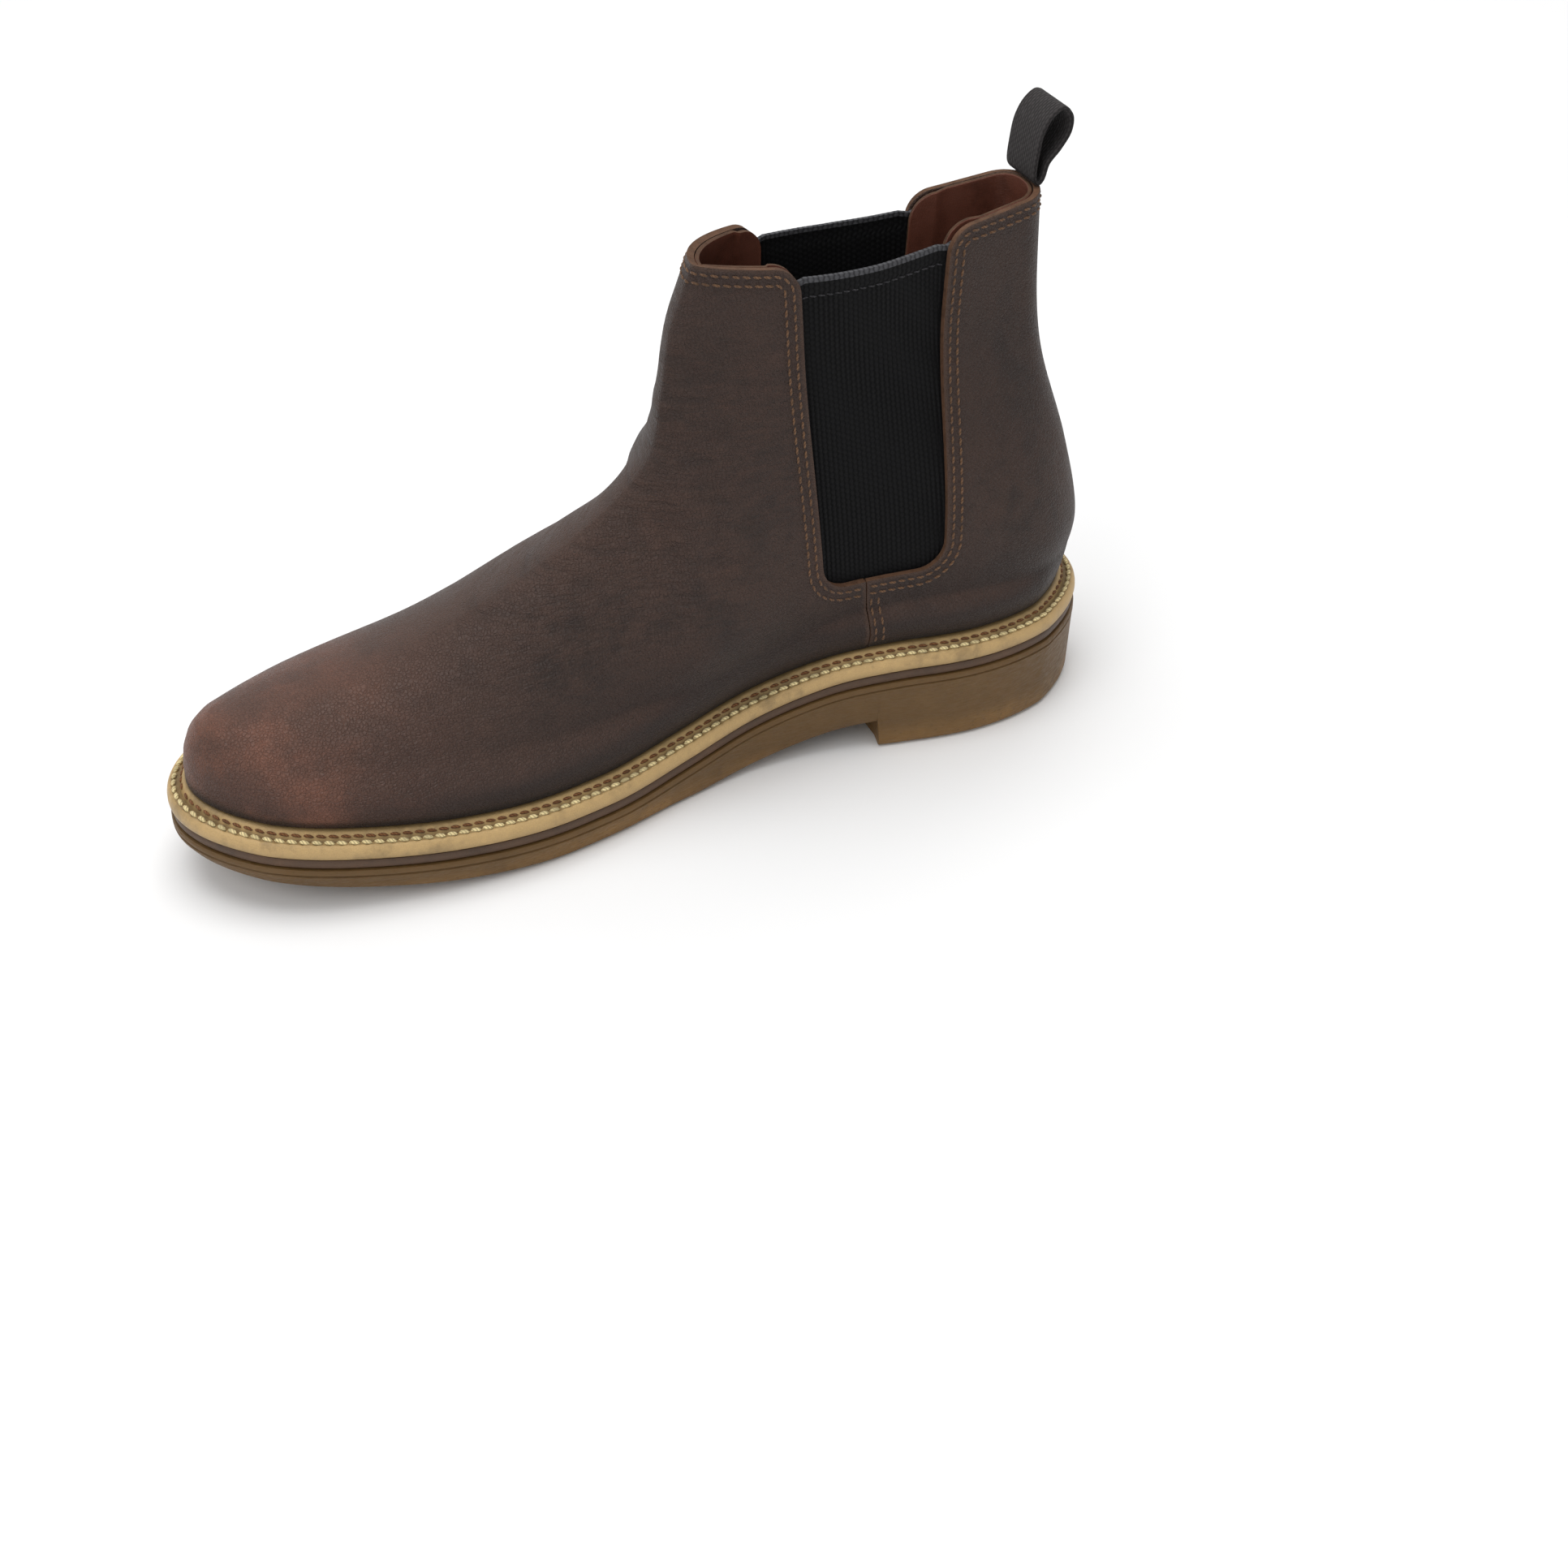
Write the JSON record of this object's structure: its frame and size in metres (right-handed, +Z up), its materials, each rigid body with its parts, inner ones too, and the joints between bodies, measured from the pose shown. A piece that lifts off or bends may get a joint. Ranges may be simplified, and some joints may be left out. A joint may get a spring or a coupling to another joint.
{
  "type": "chelsea boot",
  "caption": "Right-foot welted leather ankle boot with elastic side gores, a gum rubber sole with a low heel, and a webbing pull loop.",
  "frame": {"origin": "middle of the boot's footprint on the floor, bounding box centre in X and Y, at floor level", "axes": "+Y from the toe towards the heel, +X towards the inner (medial) side of this right boot, +Z up"},
  "size_m": [0.1114, 0.2994, 0.192],
  "materials": {
    "gum_rubber": "translucent amber-brown gum rubber with a rough, dusty surface",
    "midsole_leather": "dark brown stacked leather edge",
    "welt": "natural tan leather welt, waxed edge",
    "welt_thread": "waxed pale yellow thread",
    "cork": "granulated cork",
    "spring_steel": "plain rolled steel",
    "fibre_board": "matt cellulose board",
    "footbed_leather": "smooth brown sock leather over foam",
    "upper_leather": "dark brown oiled pull-up leather with fine grain and worn red-brown highlights",
    "elastic": "black ribbed woven elastic",
    "lining_leather": "smooth red-brown lining leather",
    "stiffener": "resin-stiffened non-woven",
    "label": "plain dark navy woven label",
    "upper_thread": "light brown waxed thread",
    "webbing": "dark brown ribbed cotton webbing"
  },
  "bodies": {
    "boot": {"outsole": "gum_rubber", "midsole": "midsole_leather", "welt": "welt", "welt_thread": "welt_thread", "cork_filler": "cork", "shank": "spring_steel", "insole_board": "fibre_board", "footbed": "footbed_leather", "vamp": "upper_leather", "quarter": "upper_leather", "gore_medial": "elastic", "gore_lateral": "elastic", "vamp_lining": "lining_leather", "quarter_lining": "lining_leather", "toe_puff": "stiffener", "heel_counter": "stiffener", "size_label": "label", "vamp_thread_outer": "upper_thread", "vamp_thread_inner": "upper_thread", "quarter_thread_outer": "upper_thread", "quarter_thread_inner": "upper_thread"},
    "loop": {"pull_loop": "webbing"}
  },
  "joints": [
    {"name": "pull_loop_fold", "type": "hinge", "parent": "boot", "child": "loop", "pos_m": [0.00309, 0.12766, 0.1708], "axis": [1, 0, 0], "range_deg": [-75, 95], "stiffness_Nm_per_rad": 0.03}
  ]
}
